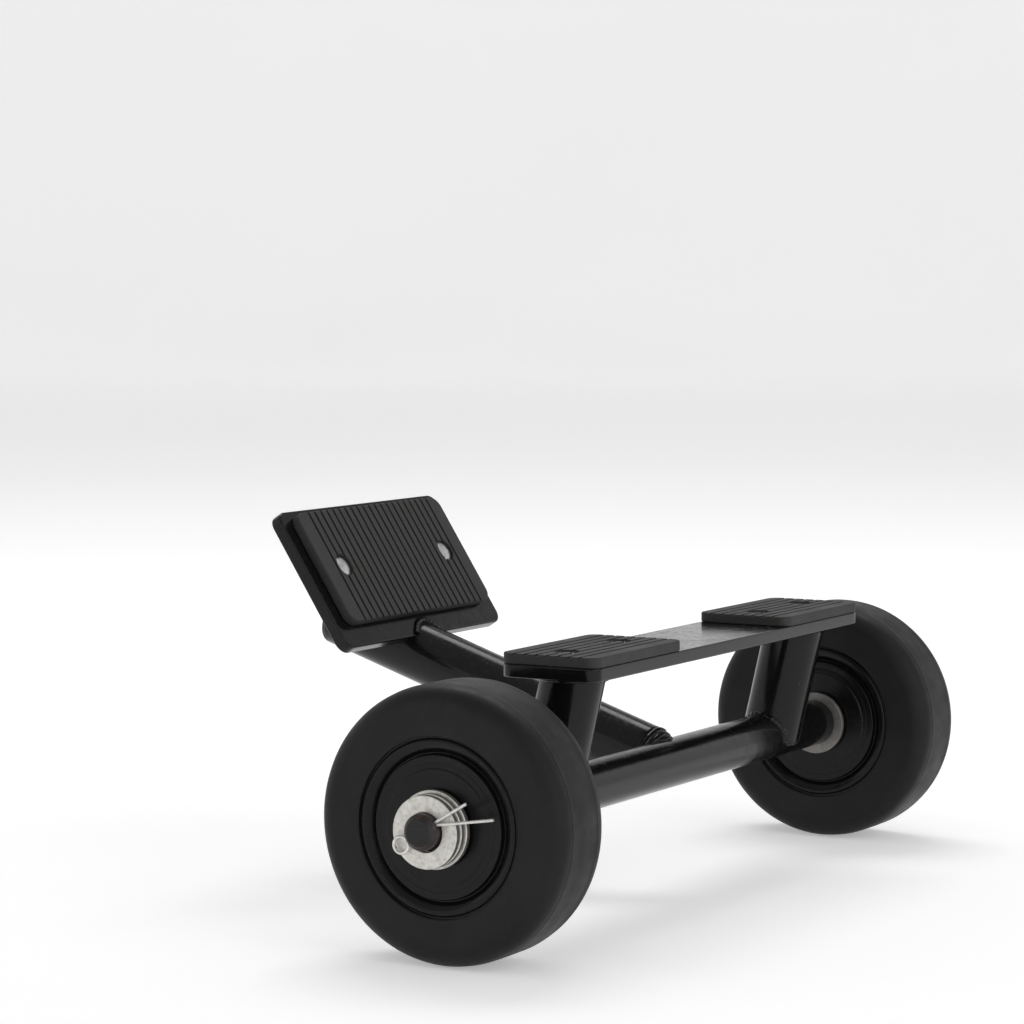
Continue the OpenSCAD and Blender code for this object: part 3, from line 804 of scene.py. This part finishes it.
# ---------------------------------------------------------------- nose pad and rivets
# The nose plate's face is covered with the same ribbed rubber, with its ribs up and down,
# held by two of the same rivets.
NOSE_RIVETS, PAD_EDGE = (-39, 39), 6
pad_place = nose_place @ Matrix.Translation((NOSE_H / 2 * mm, 0, 0))
nose_spots = [(0, spot) for spot in NOSE_RIVETS]
nose_pad = ribbed_pad(NOSE_H - PAD_EDGE, NOSE_W - 2 * PAD_EDGE, "X", nose_spots, pad_place)
make_piece("nose_pad_rubber", nose_pad, pad_finish, "frame", "pad_rubber", "nose_pad")
rivets = [turned(RIVET_RING, pad_place @ Matrix.Translation((0, spot * mm, 0)), steps=40)
          for spot in NOSE_RIVETS]
make_piece("nose_rivet_set", join(*rivets), rivet_finish, "frame", "rivet_alu", "nose_rivets")


# ---------------------------------------------------------------- studio
# The dolly stands on a seamless pale floor that turns up into a round wall far behind it.
# A large softbox hangs over it, a second one stands to the right, and the sky fills in.
def paper():
    pale = Finish("studio paper")
    shade = pale.noise(900, detail=2)
    pale.send("Base Color", pale.ramp(shade, (0.3, (0.84, 0.84, 0.84)), (0.7, (0.87, 0.87, 0.87))))
    pale.fix(Roughness=0.9, Specular_IOR_Level=0.1, Emission_Color=(1, 1, 1, 1), Emission_Strength=0.33)
    return pale.material


cove = bmesh.new()
wall = [(0, 0), (5000, 0), (8000, 0), (8000, 3500)]
ring = [cove.verts.new((radius * mm, 0, height * mm)) for radius, height in wall]
for one, two in zip(ring, ring[1:]):
    cove.edges.new((one, two))
bmesh.ops.bevel(cove, geom=[ring[2]], offset=2500 * mm, offset_type="OFFSET", segments=12,
                profile=0.5, affect="VERTICES", clamp_overlap=True, material=-1)
bmesh.ops.spin(cove, geom=cove.verts[:] + cove.edges[:], cent=(0, 0, 0), axis=(0, 0, 1),
               dvec=(0, 0, 0), angle=math.tau, steps=96, use_merge=True, use_duplicate=False)
bmesh.ops.remove_doubles(cove, verts=cove.verts, dist=0.01 * mm)
bmesh.ops.recalc_face_normals(cove, faces=cove.faces)
cove_mesh = bpy.data.meshes.new("studio_floor")
cove.to_mesh(cove_mesh)
cove.free()
for face in cove_mesh.polygons:
    face.use_smooth = True
cove_mesh.materials.append(paper())
studio_floor = bpy.data.objects.new("studio_floor", cove_mesh)
bpy.context.scene.collection.objects.link(studio_floor)

world = bpy.data.worlds.new("studio sky")
world.use_nodes = True
world.node_tree.nodes["Background"].inputs["Color"].default_value = (1, 1, 1, 1)
world.node_tree.nodes["Background"].inputs["Strength"].default_value = 0.44
bpy.context.scene.world = world
bpy.context.scene.view_settings.view_transform = "Standard"

SOFTBOXES = [("overhead box", (-0.5, 0.9, 1.9), (1.6, 0.7), 14),
             ("right box", (2.4, -0.6, 1.3), (2.2, 2.2), 14)]
for name, spot, size, power in SOFTBOXES:
    softbox = bpy.data.lights.new(name, "AREA")
    softbox.shape = "RECTANGLE"
    softbox.size, softbox.size_y = size
    softbox.energy = power
    lamp = bpy.data.objects.new(name, softbox)
    lamp.location = spot
    lamp.rotation_euler = (-Vector(spot)).to_track_quat("-Z", "Y").to_euler()
    bpy.context.scene.collection.objects.link(lamp)


# ---------------------------------------------------------------- camera
# A long lens stands low and close to level, to the right of the near wheel, and looks
# along the axle past it. It is placed from the near wheel's middle.
turn, drop = math.radians(29.76), math.radians(4.33)
ahead = Vector((-math.sin(turn) * math.cos(drop), math.cos(turn) * math.cos(drop), -math.sin(drop)))
right = Vector((math.cos(turn), math.sin(turn), 0))
up = right.cross(ahead)
lens = bpy.data.cameras.new("camera")
lens.sensor_width = 36
lens.lens = 121.36
lens.clip_end = 20
camera = bpy.data.objects.new("camera", lens)
camera.matrix_world = Matrix((right, up, -ahead)).transposed().to_4x4()
back_off, aside, rise = 1.2147, 0.0178, 0.1088
camera.location = wheel_middle("near") - back_off * ahead + aside * right + rise * up
bpy.context.scene.collection.objects.link(camera)
bpy.context.scene.camera = camera
